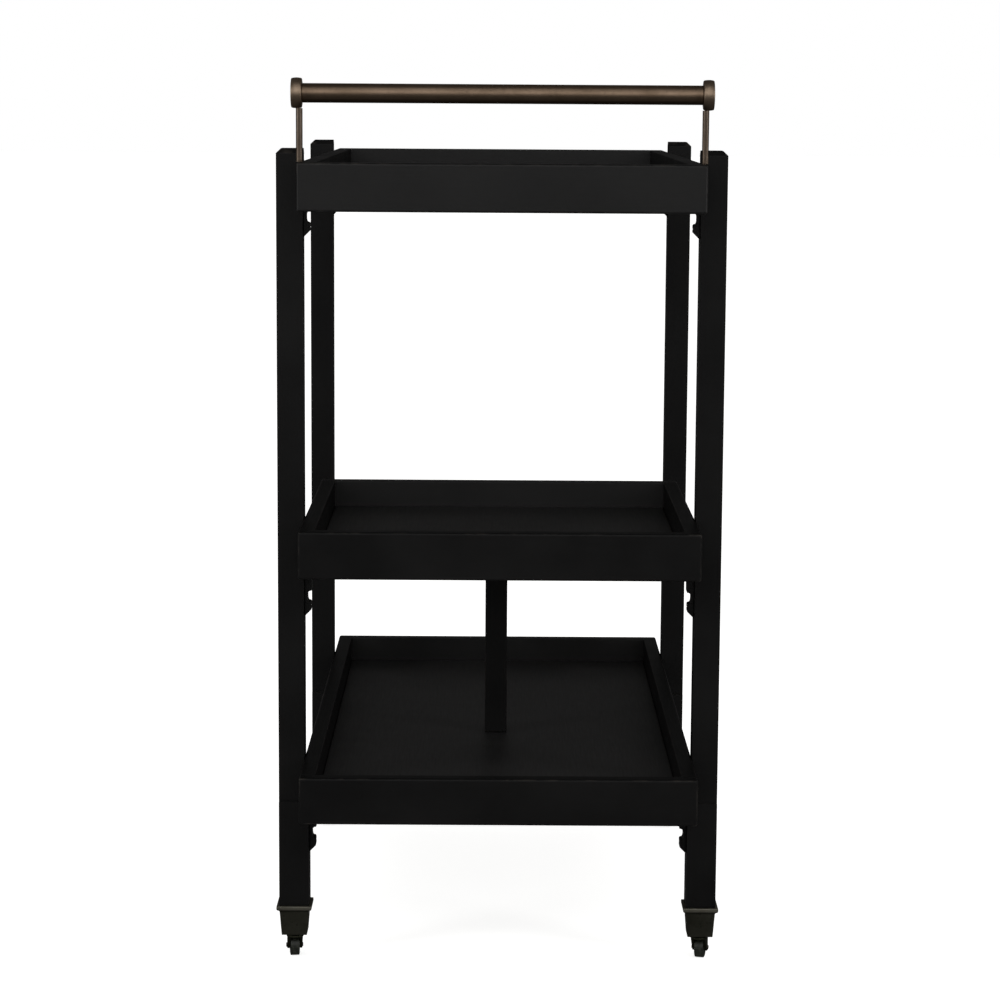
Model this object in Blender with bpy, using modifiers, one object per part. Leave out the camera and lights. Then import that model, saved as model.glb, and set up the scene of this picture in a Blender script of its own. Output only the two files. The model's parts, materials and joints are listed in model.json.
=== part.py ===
"""Three-tier bar cart on swivel casters: black wooden trays and legs, bronze push handle.

Metres, +Z up. The origin is on the floor at the centre of the cart, +X runs across its
width and -Y points to the end that carries the push handle.
"""

import math

import bmesh
import bpy
from mathutils import Matrix, Vector

# Clearances
GAP = 0.0003
RUNNING_CLEARANCE = 0.00005

# Trays: four rim boards around a floor panel whose tongue sits in their grooves
TRAY_LENGTH = 0.762
TRAY_WIDTH = 0.403
MIDDLE_TRAY_LENGTH = 0.396
RIM_HEIGHT = 0.048
RIM_THICKNESS = 0.016
RIM_ROUNDING = 0.0022
FLOOR_TOP_ABOVE_RIM_BOTTOM = 0.0195
FLOOR_RAISE = 0.004
TONGUE_THICKNESS = 0.005
TONGUE_REACH = 0.005
TRAY_BOTTOMS = {"top": 0.7885, "middle": 0.423, "bottom": 0.172}

# Legs, outside the trays' long sides
LEG_SIDE = 0.027
LEG_INSET = 0.096
LEG_TOP = 0.8485
LEG_TOP_CHAMFER = 0.005
LEG_ROUNDING = 0.0012
FOOT_SIDE = 0.031
TENON_SIDE = 0.024
TENON_ROOT = 0.003

# Post between the bottom tray's floor and the middle tray's floor
POST_SIDE = 0.0245
POST_FROM_FRONT = 0.3356
POST_X = -0.0026

# Moulded brackets under the trays, on the legs' inner faces
BRACKET_WIDTH = 0.016
BRACKET_FLANGE = 0.0075
BRACKET_COVE = 0.003
BRACKET_BEAD = 0.0067
COVE_HEIGHT = 0.0115
COVE_SLOPE = 0.001
BEAD_HEIGHT = 0.0085
BEAD_ROUNDING = 0.0016
SHORT_FLANGE_HEIGHT = 0.0028
TALL_FLANGE_HEIGHT = 0.0288

# Push handle
HANDLE_FROM_FRONT = 0.022
HANDLE_HEIGHT = 0.9039
TUBE_RADIUS = 0.0095
TUBE_BORE = 0.0080
CAP_RADIUS = 0.015
CAP_INNER_X = 0.1970
CAP_OUTER_X = 0.2075
CAP_EDGE = 0.0015
CAP_DOME_RADIUS = 0.008
CAP_DOME_HEIGHT = 0.0006
PLUG_RADIUS = 0.0077
PLUG_LENGTH = 0.008
ROD_X = 0.1998
ROD_RADIUS = 0.0033
ROD_FLARE_RADIUS = 0.0038
ROD_FLARE_COLLAR = 0.0015
ROD_FLARE_HEIGHT = 0.006
ROD_FOOT_RADIUS = 0.0036
ROD_FOOT_COLLAR = 0.0015
ROD_FOOT_HEIGHT = 0.003
STUD_RADIUS = 0.0012
STUD_LENGTH = 0.008
STUD_HOLE_RADIUS = 0.0016
STUD_HOLE_SPARE = 0.001
CUT_OVERSHOOT = 0.004

# Casters
FERRULE_BOTTOM = 0.0274
FERRULE_TOP = 0.0596
LIP_HEIGHT = 0.0046
LIP_SIDE = 0.0368
LIP_CHAMFER = 0.0008
FERRULE_TOP_SIDE = 0.0304
FERRULE_BOTTOM_SIDE = 0.0266
POCKET_BOTTOM = 0.0430
SOCKET_RADIUS = 0.0045
SOCKET_FLANGE_RADIUS = 0.0062
SOCKET_FLANGE_HEIGHT = 0.0014
STEM_RADIUS = 0.0025
CROWN_THICKNESS = 0.0022
CROWN_RADIUS = 0.0090
CROWN_EDGE = 0.0008
CHEEK_THICKNESS = 0.0026
CHEEK_RADIUS = 0.0038
CHEEK_AHEAD = 0.0060
CHEEK_BEHIND = 0.0105
CHEEK_OVERLAP = 0.001
WHEEL_RADIUS = 0.0110
WHEEL_WIDTH = 0.0096
WHEEL_EDGE = 0.0009
WHEEL_SIDE_GAP = 0.0004
TRAIL = 0.0075
AXLE_RADIUS = 0.0015
AXLE_HEAD_RADIUS = 0.0026
AXLE_HEAD_HEIGHT = 0.0009
ROUND_STEPS = 32
SMALL_STEPS = 24
SMOOTH_ANGLE = math.radians(40)

# Each caster stands as the cart last rolled: its swivel angle in degrees
CASTER_ANGLES = {"front_left": 8.0, "front_right": -14.0, "back_left": -8.0, "back_right": 5.0}

# Derived places
HALF_WIDTH = TRAY_WIDTH / 2
FRONT_Y = -TRAY_LENGTH / 2
LEG_INNER_X = HALF_WIDTH + GAP
LEG_OUTER_X = LEG_INNER_X + LEG_SIDE
LEG_Y = TRAY_LENGTH / 2 - LEG_INSET - LEG_SIDE / 2
FOOT_INNER_X = LEG_OUTER_X - FOOT_SIDE
FOOT_X = FOOT_INNER_X + FOOT_SIDE / 2
HANDLE_Y = FRONT_Y + HANDLE_FROM_FRONT
CROWN_TOP = FERRULE_BOTTOM - SOCKET_FLANGE_HEIGHT - 2 * GAP
CORNERS = {
    "front_left": (-1, -1),
    "front_right": (1, -1),
    "back_left": (-1, 1),
    "back_right": (1, 1),
}


def clear_scene():
    for thing in list(bpy.data.objects):
        bpy.data.objects.remove(thing, do_unlink=True)


def make_collection(name):
    collection = bpy.data.collections.new(name)
    bpy.context.scene.collection.children.link(collection)
    return collection


def make_material(name, color, roughness, metallic):
    material = bpy.data.materials.new(name)
    material.use_nodes = True
    shader = material.node_tree.nodes["Principled BSDF"]
    shader.inputs["Base Color"].default_value = (*color, 1.0)
    shader.inputs["Roughness"].default_value = roughness
    shader.inputs["Metallic"].default_value = metallic
    return material


def add_object(name, mesh, material, location=(0, 0, 0), collection=None):
    thing = bpy.data.objects.new(name, mesh)
    thing.location = location
    if material:
        mesh.materials.append(material)
    (collection or PARTS).objects.link(thing)
    return thing


def mesh_from(bm, name):
    mesh = bpy.data.meshes.new(name)
    bm.to_mesh(mesh)
    bm.free()
    return mesh


def smooth(mesh):
    mesh.shade_smooth()
    mesh.set_sharp_from_angle(angle=SMOOTH_ANGLE)


def box_bmesh(low, high, center):
    """A box between two corners, its vertices measured from the given centre."""
    low = Vector(low)
    high = Vector(high)
    bm = bmesh.new()
    bmesh.ops.create_cube(bm, size=1.0)
    bmesh.ops.scale(bm, vec=high - low, verts=bm.verts)
    bmesh.ops.translate(bm, vec=(low + high) / 2 - Vector(center), verts=bm.verts)
    return bm


def add_box(name, low, high, material, rounding=0.0, collection=None):
    center = (Vector(low) + Vector(high)) / 2
    mesh = mesh_from(box_bmesh(low, high, center), name)
    thing = add_object(name, mesh, material, center, collection)
    if rounding:
        bevel = thing.modifiers.new("rounded_edges", "BEVEL")
        bevel.width = rounding
        bevel.segments = 2
    return thing


def add_cutter(name, low, high):
    return hide_as_cutter(add_box(name, low, high, None, collection=CUTTERS))


def hide_as_cutter(cutter):
    cutter.hide_render = True
    cutter.display_type = "WIRE"
    return cutter


def boolean(thing, other, operation="DIFFERENCE"):
    modifier = thing.modifiers.new(other.name, "BOOLEAN")
    modifier.operation = operation
    modifier.solver = "EXACT"
    modifier.object = other


def add_turned(name, profile, material, location, turn=None, steps=ROUND_STEPS, collection=None):
    """A profile of (radius, height) points, down its outer side from top to bottom, turned about Z."""
    bm = bmesh.new()
    verts = [bm.verts.new((radius, 0.0, height)) for radius, height in profile]
    for above, below in zip(verts, verts[1:]):
        bm.edges.new((above, below))
    if profile[0][0] > 0:
        bm.edges.new((verts[-1], verts[0]))
    thing = add_object(name, mesh_from(bm, name), material, location, collection)
    if turn:
        thing.rotation_euler = turn
    screw = thing.modifiers.new("turn", "SCREW")
    screw.steps = steps
    screw.render_steps = steps
    screw.use_merge_vertices = True
    screw.merge_threshold = 0.00001
    screw.use_smooth_shade = True
    return thing


def add_outline(name, points, thickness, material, collection=None):
    """A flat closed outline in X and Z, as thick as given along Y and centred on it, as a mesh."""
    curve = bpy.data.curves.new(name, "CURVE")
    curve.dimensions = "2D"
    curve.fill_mode = "BOTH"
    curve.extrude = thickness / 2
    spline = curve.splines.new("POLY")
    spline.points.add(len(points) - 1)
    for spot, (x, z) in zip(spline.points, points):
        spot.co = (x, z, 0.0, 1.0)
    spline.use_cyclic_u = True
    flat = bpy.data.objects.new(name + "_outline", curve)
    PARTS.objects.link(flat)
    bpy.context.view_layer.update()
    graph = bpy.context.evaluated_depsgraph_get()
    mesh = bpy.data.meshes.new_from_object(flat.evaluated_get(graph))
    bpy.data.objects.remove(flat, do_unlink=True)
    bpy.data.curves.remove(curve)
    bm = bmesh.new()
    bm.from_mesh(mesh)
    bmesh.ops.remove_doubles(bm, verts=bm.verts, dist=0.00001)
    bmesh.ops.rotate(bm, cent=(0, 0, 0), matrix=Matrix.Rotation(math.pi / 2, 3, "X"), verts=bm.verts)
    bmesh.ops.recalc_face_normals(bm, faces=bm.faces)
    bm.to_mesh(mesh)
    bm.free()
    mesh.name = name
    return add_object(name, mesh, material, collection=collection)


# Trays


def tray_ends(tier):
    length = MIDDLE_TRAY_LENGTH if tier == "middle" else TRAY_LENGTH
    return FRONT_Y, FRONT_Y + length


def make_tray(tier, wood):
    bottom = TRAY_BOTTOMS[tier]
    front, back = tray_ends(tier)
    top = bottom + RIM_HEIGHT
    inner_x = HALF_WIDTH - RIM_THICKNESS
    inner_front = front + RIM_THICKNESS
    inner_back = back - RIM_THICKNESS
    boards = {
        "front": ((-HALF_WIDTH, front, bottom), (HALF_WIDTH, inner_front, top)),
        "back": ((-HALF_WIDTH, inner_back, bottom), (HALF_WIDTH, back, top)),
        "left": ((-HALF_WIDTH, inner_front + GAP, bottom), (-inner_x, inner_back - GAP, top)),
        "right": ((inner_x, inner_front + GAP, bottom), (HALF_WIDTH, inner_back - GAP, top)),
    }
    tongue_top = bottom + FLOOR_TOP_ABOVE_RIM_BOTTOM - FLOOR_RAISE
    low = Vector((-inner_x - TONGUE_REACH, inner_front - TONGUE_REACH, tongue_top - TONGUE_THICKNESS))
    high = Vector((inner_x + TONGUE_REACH, inner_back + TONGUE_REACH, tongue_top))
    clearance = Vector((GAP, GAP, GAP))
    groove = add_cutter(f"{tier}_groove_cutter", low - clearance, high + clearance)
    made = {}
    for side, (board_low, board_high) in boards.items():
        board = add_box(f"{tier}_tray_{side}", board_low, board_high, wood, RIM_ROUNDING)
        boolean(board, groove)
        made[side] = board
    make_floor(f"{tier}_tray_floor", low, high, wood)
    return made


def make_floor(name, low, high, wood):
    """A panel with a tongue all round below its raised top face."""
    center = (low + high) / 2
    bm = box_bmesh(low, high, center)
    top = max(bm.faces, key=lambda face: face.calc_center_median().z)
    bmesh.ops.inset_region(bm, faces=[top], thickness=TONGUE_REACH + GAP, use_even_offset=True)
    raised = bmesh.ops.extrude_face_region(bm, geom=[top])
    lifted = [item for item in raised["geom"] if isinstance(item, bmesh.types.BMVert)]
    bmesh.ops.delete(bm, geom=[top], context="FACES_ONLY")
    bmesh.ops.translate(bm, vec=(0, 0, FLOOR_RAISE), verts=lifted)
    return add_object(name, mesh_from(bm, name), wood, center)


# Legs, post and brackets


def make_leg(corner, side, end, wood):
    """A square post whose top slopes on three sides, a thicker foot and a tenon below it."""
    center_x = side * (LEG_INNER_X + LEG_SIDE / 2)
    center = Vector((center_x, end * LEG_Y, FERRULE_TOP))
    half = LEG_SIDE / 2
    foot_top = TRAY_BOTTOMS["bottom"] - GAP
    low = center + Vector((-half, -half, GAP))
    high = Vector((center.x + half, center.y + half, LEG_TOP))
    bm = box_bmesh(low, high, center)
    top = LEG_TOP - center.z - GAP
    top_edges = [edge for edge in bm.edges if all(v.co.z > top for v in edge.verts)]
    sloped = [edge for edge in top_edges if sum(v.co.x for v in edge.verts) * side > -half]
    bmesh.ops.bevel(bm, geom=sloped, offset=LEG_TOP_CHAMFER, segments=1, affect="EDGES")
    upright = [edge for edge in bm.edges if edge.calc_length() > LEG_TOP / 2]
    bmesh.ops.bevel(bm, geom=upright, offset=LEG_ROUNDING, segments=2, affect="EDGES")
    leg = add_object(f"leg_{corner}", mesh_from(bm, f"leg_{corner}"), wood, center)

    foot_half = FOOT_SIDE / 2
    foot_center = Vector((side * FOOT_X, end * LEG_Y, 0))
    foot = add_box(
        f"foot_{corner}",
        foot_center + Vector((-foot_half, -foot_half, FERRULE_TOP + GAP)),
        foot_center + Vector((foot_half, foot_half, foot_top)),
        None,
        LEG_ROUNDING,
        CUTTERS,
    )
    tenon_half = TENON_SIDE / 2
    tenon = add_box(
        f"tenon_{corner}",
        foot_center + Vector((-tenon_half, -tenon_half, POCKET_BOTTOM + GAP)),
        foot_center + Vector((tenon_half, tenon_half, FERRULE_TOP + TENON_ROOT)),
        None,
        0.0,
        CUTTERS,
    )
    boolean(leg, hide_as_cutter(foot), "UNION")
    boolean(leg, hide_as_cutter(tenon), "UNION")
    return leg


def make_post(wood):
    half = POST_SIDE / 2
    front = FRONT_Y + POST_FROM_FRONT
    floor_top = TRAY_BOTTOMS["bottom"] + FLOOR_TOP_ABOVE_RIM_BOTTOM
    panel_thickness = FLOOR_RAISE + TONGUE_THICKNESS
    panel_under = TRAY_BOTTOMS["middle"] + FLOOR_TOP_ABOVE_RIM_BOTTOM - panel_thickness
    low = (POST_X - half, front, floor_top + GAP)
    high = (POST_X + half, front + POST_SIDE, panel_under - GAP)
    return add_box("centre_post", low, high, wood, LEG_ROUNDING)


def bracket_outline(flange_height):
    """Reach from the leg and height below the tray: flange, cove, rounded bead and a sloping foot."""
    points = [(0.0, 0.0), (BRACKET_FLANGE, 0.0), (BRACKET_FLANGE, -flange_height)]
    cove_bottom = -flange_height - COVE_HEIGHT
    points += [(BRACKET_COVE, -flange_height - COVE_SLOPE), (BRACKET_COVE, cove_bottom + COVE_SLOPE)]
    for turn in (90, 45, 0):
        angle = math.radians(turn)
        x = BRACKET_BEAD - BEAD_ROUNDING + BEAD_ROUNDING * math.cos(angle)
        z = cove_bottom - BEAD_ROUNDING + BEAD_ROUNDING * math.sin(angle)
        points.append((x, z))
    bead_bottom = cove_bottom - BEAD_HEIGHT
    points += [(BRACKET_BEAD, bead_bottom), (0.0, bead_bottom - BRACKET_BEAD)]
    return points


def make_bracket(tier, corner, side, end, material):
    flange_height = SHORT_FLANGE_HEIGHT if tier == "top" else TALL_FLANGE_HEIGHT
    wall_x = (FOOT_INNER_X if tier == "bottom" else LEG_INNER_X) - GAP
    outline = [(-side * reach, z) for reach, z in bracket_outline(flange_height)]
    bracket = add_outline(f"{tier}_bracket_{corner}", outline, BRACKET_WIDTH, material)
    bracket.location = (side * wall_x, end * LEG_Y, TRAY_BOTTOMS[tier] - GAP)
    return bracket


# Push handle


def make_handle(bronze, top_boards):
    lying = (0, math.pi / 2, 0)
    tube_end = CAP_INNER_X - GAP
    ring = [
        (TUBE_BORE, tube_end),
        (TUBE_RADIUS, tube_end),
        (TUBE_RADIUS, -tube_end),
        (TUBE_BORE, -tube_end),
    ]
    add_turned("handle_tube", ring, bronze, (0, HANDLE_Y, HANDLE_HEIGHT), lying)
    for corner, side in (("left", -1), ("right", 1)):
        make_cap(corner, side, bronze)
        make_rod(corner, side, bronze, top_boards[corner])


def make_cap(corner, side, bronze):
    """A thick disc with a domed face, and a plug that fits in the end of the tube."""
    thickness = CAP_OUTER_X - CAP_INNER_X
    rim = CAP_RADIUS - CAP_EDGE
    face = thickness - CAP_DOME_HEIGHT
    profile = [(0.0, thickness), (CAP_DOME_RADIUS, thickness), (rim, face)]
    for turn in (60, 30, 0):
        angle = math.radians(turn)
        profile.append((rim + CAP_EDGE * math.cos(angle), face - CAP_EDGE + CAP_EDGE * math.sin(angle)))
    for turn in (0, -30, -60, -90):
        angle = math.radians(turn)
        profile.append((rim + CAP_EDGE * math.cos(angle), CAP_EDGE + CAP_EDGE * math.sin(angle)))
    profile += [(PLUG_RADIUS, 0.0), (PLUG_RADIUS, -PLUG_LENGTH), (0.0, -PLUG_LENGTH)]
    place = (side * CAP_INNER_X, HANDLE_Y, HANDLE_HEIGHT)
    cap = add_turned(f"handle_cap_{corner}", profile, bronze, place, (0, side * math.pi / 2, 0))
    hole_bottom = HANDLE_HEIGHT - CAP_RADIUS
    place = (side * ROD_X, HANDLE_Y, hole_bottom)
    boolean(cap, stud_hole(f"cap_hole_{corner}", STUD_LENGTH, -CUT_OVERSHOOT, place))


def stud_hole(name, top, bottom, place):
    """A cutter for the hole that a rod's stud goes in."""
    hole = [(0.0, top), (STUD_HOLE_RADIUS, top), (STUD_HOLE_RADIUS, bottom), (0.0, bottom)]
    return hide_as_cutter(add_turned(name, hole, None, place, None, SMALL_STEPS, CUTTERS))


def make_rod(corner, side, bronze, board):
    """A slender rod with a foot on the rim, a flare under the cap and a stud at each end."""
    rim_top = TRAY_BOTTOMS["top"] + RIM_HEIGHT
    foot = rim_top + GAP
    head = HANDLE_HEIGHT - CAP_RADIUS - GAP
    length = head - foot
    stud_top = length + STUD_LENGTH - STUD_HOLE_SPARE
    profile = [
        (0.0, stud_top),
        (STUD_RADIUS, stud_top),
        (STUD_RADIUS, length),
        (ROD_FLARE_RADIUS, length),
        (ROD_FLARE_RADIUS, length - ROD_FLARE_COLLAR),
        (ROD_RADIUS, length - ROD_FLARE_HEIGHT),
        (ROD_RADIUS, ROD_FOOT_HEIGHT),
        (ROD_FOOT_RADIUS, ROD_FOOT_COLLAR),
        (ROD_FOOT_RADIUS, 0.0),
        (STUD_RADIUS, 0.0),
        (STUD_RADIUS, -STUD_LENGTH),
        (0.0, -STUD_LENGTH),
    ]
    place = (side * ROD_X, HANDLE_Y, foot)
    add_turned(f"handle_rod_{corner}", profile, bronze, place, None, SMALL_STEPS)
    depth = STUD_LENGTH + STUD_HOLE_SPARE
    place = (side * ROD_X, HANDLE_Y, rim_top)
    boolean(board, stud_hole(f"rod_hole_{corner}", CUT_OVERSHOOT, -depth, place))


# Casters


def across_corners(side):
    return side / math.sqrt(2)


def make_ferrule(corner, center, bronze):
    """A square cup with a flared lip, tapering to its base, with a hole for the stem socket."""
    lip_bottom = FERRULE_TOP - LIP_HEIGHT
    outline = [
        (0.0, FERRULE_TOP),
        (across_corners(LIP_SIDE) - LIP_CHAMFER, FERRULE_TOP),
        (across_corners(LIP_SIDE), FERRULE_TOP - LIP_CHAMFER),
        (across_corners(LIP_SIDE), lip_bottom + LIP_CHAMFER),
        (across_corners(LIP_SIDE) - LIP_CHAMFER, lip_bottom),
        (across_corners(FERRULE_TOP_SIDE), lip_bottom - LIP_CHAMFER),
        (across_corners(FERRULE_BOTTOM_SIDE), FERRULE_BOTTOM + LIP_CHAMFER),
        (across_corners(FERRULE_BOTTOM_SIDE) - LIP_CHAMFER, FERRULE_BOTTOM),
        (0.0, FERRULE_BOTTOM),
    ]
    ferrule = add_turned(f"caster_ferrule_{corner}", outline, bronze, center, (0, 0, math.pi / 4), 4)
    half = TENON_SIDE / 2 + GAP
    pocket = add_cutter(
        f"pocket_{corner}",
        Vector(center) + Vector((-half, -half, POCKET_BOTTOM)),
        Vector(center) + Vector((half, half, FERRULE_TOP + CUT_OVERSHOOT)),
    )
    boolean(ferrule, pocket)
    radius = SOCKET_RADIUS + GAP
    top = POCKET_BOTTOM + CUT_OVERSHOOT
    bottom = FERRULE_BOTTOM - CUT_OVERSHOOT
    hole = [(0.0, top), (radius, top), (radius, bottom), (0.0, bottom)]
    cutter = add_turned(f"socket_hole_{corner}", hole, None, center, None, SMALL_STEPS, CUTTERS)
    boolean(ferrule, hide_as_cutter(cutter))


def make_socket(corner, center, steel):
    """The sleeve that the stem turns in, with a flange under the ferrule."""
    flange_top = FERRULE_BOTTOM - GAP
    flange_bottom = flange_top - SOCKET_FLANGE_HEIGHT
    bore = (STEM_RADIUS + RUNNING_CLEARANCE) / math.cos(math.pi / SMALL_STEPS)
    top = POCKET_BOTTOM - GAP
    ring = [
        (bore, top),
        (SOCKET_RADIUS, top),
        (SOCKET_RADIUS, flange_top),
        (SOCKET_FLANGE_RADIUS, flange_top),
        (SOCKET_FLANGE_RADIUS, flange_bottom),
        (bore, flange_bottom),
    ]
    add_turned(f"caster_socket_{corner}", ring, steel, center, None, SMALL_STEPS)


def cheek_outline():
    """A fork cheek from the crown down round the axle, in distance from the stem and height."""
    top = CROWN_TOP - CHEEK_OVERLAP
    crown_bottom = CROWN_TOP - CROWN_THICKNESS
    points = [(-CHEEK_AHEAD, top), (-CHEEK_AHEAD, crown_bottom)]
    for turn in range(200, 375, 25):
        angle = math.radians(turn)
        y = TRAIL + CHEEK_RADIUS * math.cos(angle)
        z = WHEEL_RADIUS + CHEEK_RADIUS * math.sin(angle)
        points.append((y, z))
    points += [(CHEEK_BEHIND, crown_bottom), (CHEEK_BEHIND, top)]
    return points


def make_fork(corner, center, angle, bronze):
    """Stem, round crown and two cheeks, turned about the stem by the caster's swivel angle."""
    profile = [
        (0.0, POCKET_BOTTOM - 2 * GAP),
        (STEM_RADIUS, POCKET_BOTTOM - 2 * GAP),
        (STEM_RADIUS, CROWN_TOP),
        (CROWN_RADIUS - CROWN_EDGE, CROWN_TOP),
        (CROWN_RADIUS, CROWN_TOP - CROWN_EDGE),
        (CROWN_RADIUS, CROWN_TOP - CROWN_THICKNESS),
        (0.0, CROWN_TOP - CROWN_THICKNESS),
    ]
    fork = add_turned(f"caster_fork_{corner}", profile, bronze, center, (0, 0, angle), SMALL_STEPS)
    inner = WHEEL_WIDTH / 2 + WHEEL_SIDE_GAP
    middle = inner + CHEEK_THICKNESS / 2
    for name, side in (("a", -1), ("b", 1)):
        cheek = add_outline(f"cheek_{name}_{corner}", cheek_outline(), CHEEK_THICKNESS, None, CUTTERS)
        cheek.matrix_world = swivel_matrix(center, angle) @ Matrix.Translation((side * middle, 0, 0))
        cheek.matrix_world @= Matrix.Rotation(math.pi / 2, 4, "Z")
        boolean(fork, hide_as_cutter(cheek), "UNION")
    outer = inner + CHEEK_THICKNESS
    radius = AXLE_RADIUS + GAP
    hole = [(0.0, 2 * outer), (radius, 2 * outer), (radius, -2 * outer), (0.0, -2 * outer)]
    cutter = add_turned(f"axle_hole_{corner}", hole, None, center, None, SMALL_STEPS, CUTTERS)
    cutter.matrix_world = axle_matrix(center, angle)
    boolean(fork, hide_as_cutter(cutter))


def swivel_matrix(center, angle):
    return Matrix.Translation(center) @ Matrix.Rotation(angle, 4, "Z")


def axle_matrix(center, angle):
    """The axle's place: behind the stem by the trail, its length along the turned X axis."""
    offset = Matrix.Translation((0, TRAIL, WHEEL_RADIUS))
    return swivel_matrix(center, angle) @ offset @ Matrix.Rotation(math.pi / 2, 4, "Y")


def make_axle(corner, center, angle, steel):
    outer = WHEEL_WIDTH / 2 + WHEEL_SIDE_GAP + CHEEK_THICKNESS + GAP
    head = outer + AXLE_HEAD_HEIGHT
    profile = [
        (0.0, head),
        (AXLE_HEAD_RADIUS * 0.7, head),
        (AXLE_HEAD_RADIUS, outer),
        (AXLE_RADIUS, outer),
        (AXLE_RADIUS, -outer),
        (AXLE_HEAD_RADIUS, -outer),
        (AXLE_HEAD_RADIUS * 0.7, -head),
        (0.0, -head),
    ]
    axle = add_turned(f"caster_axle_{corner}", profile, steel, center, None, SMALL_STEPS)
    axle.matrix_world = axle_matrix(center, angle)


def make_wheel(corner, center, angle, dark):
    """A narrow roller with a rounded tread, bored for the axle."""
    half = WHEEL_WIDTH / 2
    bore = (AXLE_RADIUS + RUNNING_CLEARANCE) / math.cos(math.pi / ROUND_STEPS)
    side = WHEEL_RADIUS - WHEEL_EDGE
    ring = [
        (bore, half),
        (side, half),
        (WHEEL_RADIUS - WHEEL_EDGE * 0.3, half - WHEEL_EDGE * 0.3),
        (WHEEL_RADIUS, half - WHEEL_EDGE),
        (WHEEL_RADIUS, -half + WHEEL_EDGE),
        (WHEEL_RADIUS - WHEEL_EDGE * 0.3, -half + WHEEL_EDGE * 0.3),
        (side, -half),
        (bore, -half),
    ]
    wheel = add_turned(f"caster_wheel_{corner}", ring, dark, center, None, ROUND_STEPS)
    wheel.matrix_world = axle_matrix(center, angle)


def make_caster(corner, side, end, bronze, steel, dark):
    center = Vector((side * FOOT_X, end * LEG_Y, 0))
    angle = math.radians(CASTER_ANGLES[corner])
    make_ferrule(corner, center, bronze)
    make_socket(corner, center, steel)
    make_fork(corner, center, angle, bronze)
    make_axle(corner, center, angle, steel)
    make_wheel(corner, center, angle, dark)


clear_scene()
PARTS = make_collection("bar_cart")
CUTTERS = make_collection("cutters")


def main():
    wood = make_material("black_painted_wood", (0.012, 0.012, 0.013), 0.32, 0.0)
    moulding = make_material("black_moulding", (0.014, 0.014, 0.015), 0.38, 0.0)
    bronze = make_material("antique_bronze", (0.20, 0.13, 0.075), 0.33, 1.0)
    steel = make_material("dark_steel", (0.16, 0.14, 0.12), 0.35, 1.0)
    dark = make_material("caster_wheel", (0.07, 0.055, 0.04), 0.4, 0.8)
    top_boards = {}
    for tier in TRAY_BOTTOMS:
        boards = make_tray(tier, wood)
        if tier == "top":
            top_boards = boards
    for corner, (side, end) in CORNERS.items():
        make_leg(corner, side, end, wood)
        make_bracket("top", corner, side, end, moulding)
        make_bracket("bottom", corner, side, end, moulding)
        if end < 0:
            make_bracket("middle", corner, side, end, moulding)
        make_caster(corner, side, end, bronze, steel, dark)
    make_post(wood)
    make_handle(bronze, top_boards)


main()
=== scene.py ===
import json
import math

import bmesh
import bpy
from mathutils import Matrix, Vector


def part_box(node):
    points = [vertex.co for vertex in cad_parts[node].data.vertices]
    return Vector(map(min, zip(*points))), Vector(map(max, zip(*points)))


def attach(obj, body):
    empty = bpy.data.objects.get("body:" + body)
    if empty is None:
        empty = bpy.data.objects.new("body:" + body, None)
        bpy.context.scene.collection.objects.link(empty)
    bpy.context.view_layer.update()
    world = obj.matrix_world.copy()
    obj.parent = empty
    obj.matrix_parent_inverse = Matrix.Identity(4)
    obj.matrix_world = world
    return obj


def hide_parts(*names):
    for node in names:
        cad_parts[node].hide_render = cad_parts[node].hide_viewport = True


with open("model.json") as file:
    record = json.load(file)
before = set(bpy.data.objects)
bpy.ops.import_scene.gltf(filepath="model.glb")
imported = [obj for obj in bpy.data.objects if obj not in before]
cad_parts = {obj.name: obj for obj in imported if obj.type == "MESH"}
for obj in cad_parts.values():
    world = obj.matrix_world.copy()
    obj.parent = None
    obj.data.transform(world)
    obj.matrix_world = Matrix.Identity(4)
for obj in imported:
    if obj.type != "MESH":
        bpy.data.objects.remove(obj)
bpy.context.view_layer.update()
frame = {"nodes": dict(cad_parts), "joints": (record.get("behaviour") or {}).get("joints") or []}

BODY = "cart"
TIERS = ("top", "middle", "bottom")
# Each corner's side, left -1 and right 1, and its end, front -1 and back 1
CORNERS = {
    "front_left": (-1, -1),
    "front_right": (1, -1),
    "back_left": (-1, 1),
    "back_right": (1, 1),
}
# Between pieces that are glued or screwed together
GAP = 0.0003

# The camera's place and heading, and the lens on a 36 mm sensor
CAMERA_PLACE = (-0.0084, -3.1515, 0.9025)
CAMERA_PITCH = math.radians(8.172)
CAMERA_HEADING = math.radians(0.169)
CAMERA_ROLL = math.radians(0.364)
CAMERA_LENS = 101.40


# Mesh helpers

MERGE_DISTANCE = 0.00001


def mesh_from(bm, name):
    mesh = bpy.data.meshes.new(name)
    bm.to_mesh(mesh)
    bm.free()
    return mesh


def add_object(name, mesh, location=(0, 0, 0), rotation=None):
    thing = bpy.data.objects.new(name, mesh)
    thing.location = location
    if rotation is not None:
        thing.rotation_euler = rotation
    bpy.context.scene.collection.objects.link(thing)
    return thing


def apply_modifiers(thing):
    """Bakes the object's modifiers into its mesh."""
    bpy.context.view_layer.update()
    graph = bpy.context.evaluated_depsgraph_get()
    mesh = bpy.data.meshes.new_from_object(thing.evaluated_get(graph))
    thing.modifiers.clear()
    old = thing.data
    thing.data = mesh
    bpy.data.meshes.remove(old)
    return thing


def add_bevel(thing, width, segments, angle=30):
    bevel = thing.modifiers.new("rounded", "BEVEL")
    bevel.width = width
    bevel.segments = segments
    bevel.limit_method = "ANGLE"
    bevel.angle_limit = math.radians(angle)


def smooth(thing, angle=40):
    thing.data.shade_smooth()
    thing.data.set_sharp_from_angle(angle=math.radians(angle))
    normals = thing.modifiers.new("weighted_normals", "WEIGHTED_NORMAL")
    normals.keep_sharp = True


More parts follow.
